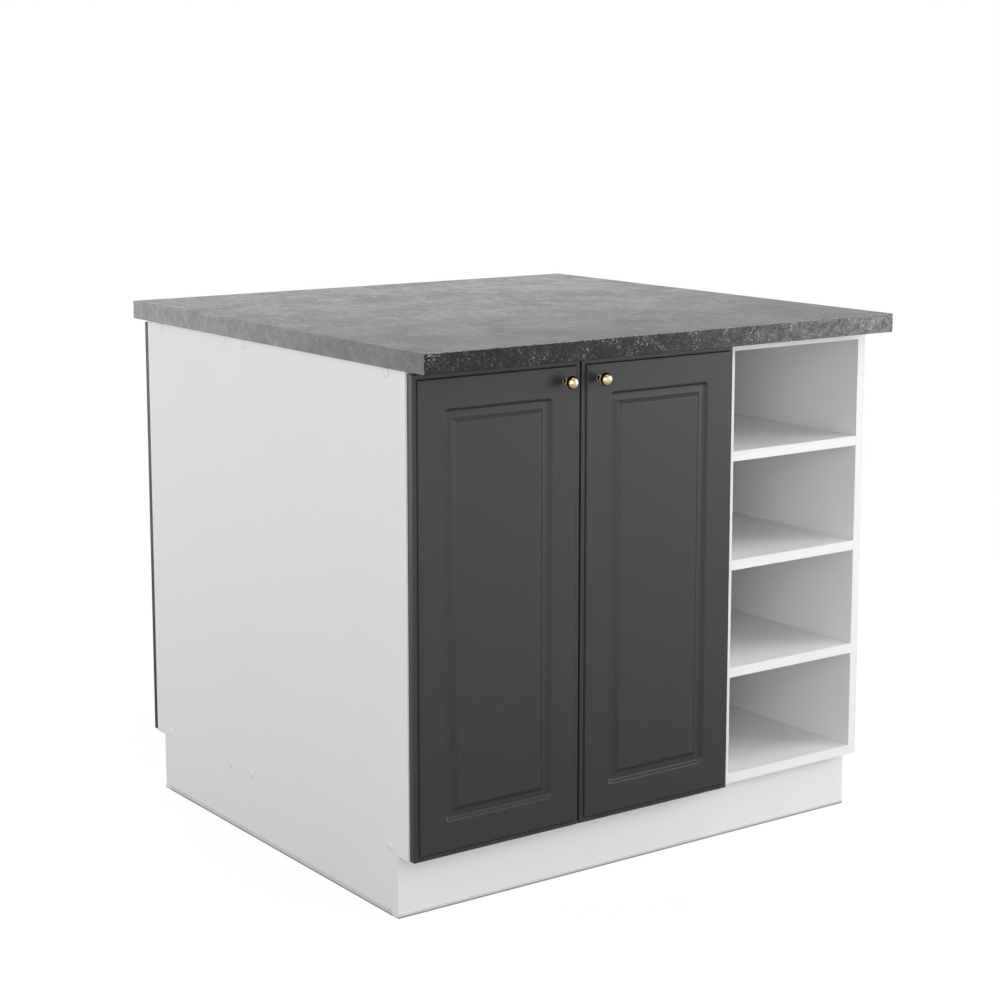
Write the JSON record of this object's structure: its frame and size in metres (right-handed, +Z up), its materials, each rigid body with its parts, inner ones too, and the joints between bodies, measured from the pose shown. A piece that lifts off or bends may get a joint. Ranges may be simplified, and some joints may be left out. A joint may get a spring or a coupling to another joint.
{
  "type": "kitchen island unit",
  "caption": "Free-standing kitchen island: floor cabinets back to back with hinged milled doors and an open shelf column under one stone-look worktop.",
  "frame": {"origin": "on the floor, under the middle of the worktop", "axes": "+X to the right as seen from the side with the open shelves, +Y to the rear row of cabinets, +Z up"},
  "size_m": [0.91, 0.9, 0.846],
  "materials": {
    "worktop_laminate": "matt grey stone-look laminate on chipboard",
    "white_board": "white melamine-faced board",
    "white_hardboard": "white painted hardboard",
    "anthracite_front": "satin anthracite film on a milled fibreboard front",
    "antique_brass": "burnished antique brass",
    "hinge_steel": "nickel-plated pressed steel",
    "screw_steel": "zinc-plated",
    "cap_plastic": "white moulded",
    "strip_plastic": "pale grey extruded"
  },
  "bodies": {
    "carcass": {"worktop": "worktop_laminate", "front_cabinet_left_side": "white_board", "front_cabinet_right_side": "white_board", "front_cabinet_bottom": "white_board", "front_cabinet_rails": "white_board", "front_cabinet_back": "white_hardboard", "front_cabinet_shelf": "white_board", "shelf_unit_left_side": "white_board", "shelf_unit_right_side": "white_board", "shelf_unit_bottom": "white_board", "shelf_unit_top": "white_board", "shelf_unit_back": "white_hardboard", "shelf_unit_lower_shelf": "white_board", "shelf_unit_middle_shelf": "white_board", "shelf_unit_upper_shelf": "white_board", "rear_wide_left_side": "white_board", "rear_wide_right_side": "white_board", "rear_wide_bottom": "white_board", "rear_wide_rails": "white_board", "rear_wide_back": "white_hardboard", "rear_wide_shelf": "white_board", "rear_narrow_left_side": "white_board", "rear_narrow_right_side": "white_board", "rear_narrow_bottom": "white_board", "rear_narrow_rails": "white_board", "rear_narrow_back": "white_hardboard", "rear_narrow_shelf": "white_board", "front_wide_plinth": "white_board", "front_narrow_plinth": "white_board", "rear_wide_plinth": "white_board", "rear_narrow_plinth": "white_board", "hinge_arms": "hinge_steel", "hinge_plates": "hinge_steel", "hinge_plate_screws": "screw_steel", "corner_screws": "screw_steel", "cover_caps": "cap_plastic", "shelf_pins": "screw_steel", "cabinet_connectors": "screw_steel", "worktop_screws": "screw_steel", "floor_strips": "strip_plastic"},
    "front_left_door": {"front_left_door": "anthracite_front", "front_left_knob": "antique_brass", "front_left_hinge_cups": "hinge_steel", "front_left_door_screws": "screw_steel"},
    "front_right_door": {"front_right_door": "anthracite_front", "front_right_knob": "antique_brass", "front_right_hinge_cups": "hinge_steel", "front_right_door_screws": "screw_steel"},
    "rear_left_door": {"rear_left_door": "anthracite_front", "rear_left_knob": "antique_brass", "rear_left_hinge_cups": "hinge_steel", "rear_left_door_screws": "screw_steel"},
    "rear_centre_door": {"rear_centre_door": "anthracite_front", "rear_centre_knob": "antique_brass", "rear_centre_hinge_cups": "hinge_steel", "rear_centre_door_screws": "screw_steel"},
    "rear_right_door": {"rear_right_door": "anthracite_front", "rear_right_knob": "antique_brass", "rear_right_hinge_cups": "hinge_steel", "rear_right_door_screws": "screw_steel"}
  },
  "joints": [
    {"name": "front_left_door_hinge", "type": "hinge", "parent": "carcass", "child": "front_left_door", "pos_m": [-0.4435, -0.4095, 0.4545], "axis": [0, 0, -1], "range_deg": [0, 110]},
    {"name": "front_right_door_hinge", "type": "hinge", "parent": "carcass", "child": "front_right_door", "pos_m": [0.1435, -0.4095, 0.4545], "axis": [0, 0, 1], "range_deg": [0, 110]},
    {"name": "rear_left_door_hinge", "type": "hinge", "parent": "carcass", "child": "rear_left_door", "pos_m": [0.4435, 0.4215, 0.4545], "axis": [0, 0, -1], "range_deg": [0, 110]},
    {"name": "rear_centre_door_hinge", "type": "hinge", "parent": "carcass", "child": "rear_centre_door", "pos_m": [-0.1435, 0.4215, 0.4545], "axis": [0, 0, 1], "range_deg": [0, 110]},
    {"name": "rear_right_door_hinge", "type": "hinge", "parent": "carcass", "child": "rear_right_door", "pos_m": [-0.4435, 0.4215, 0.4545], "axis": [0, 0, 1], "range_deg": [0, 110]}
  ]
}
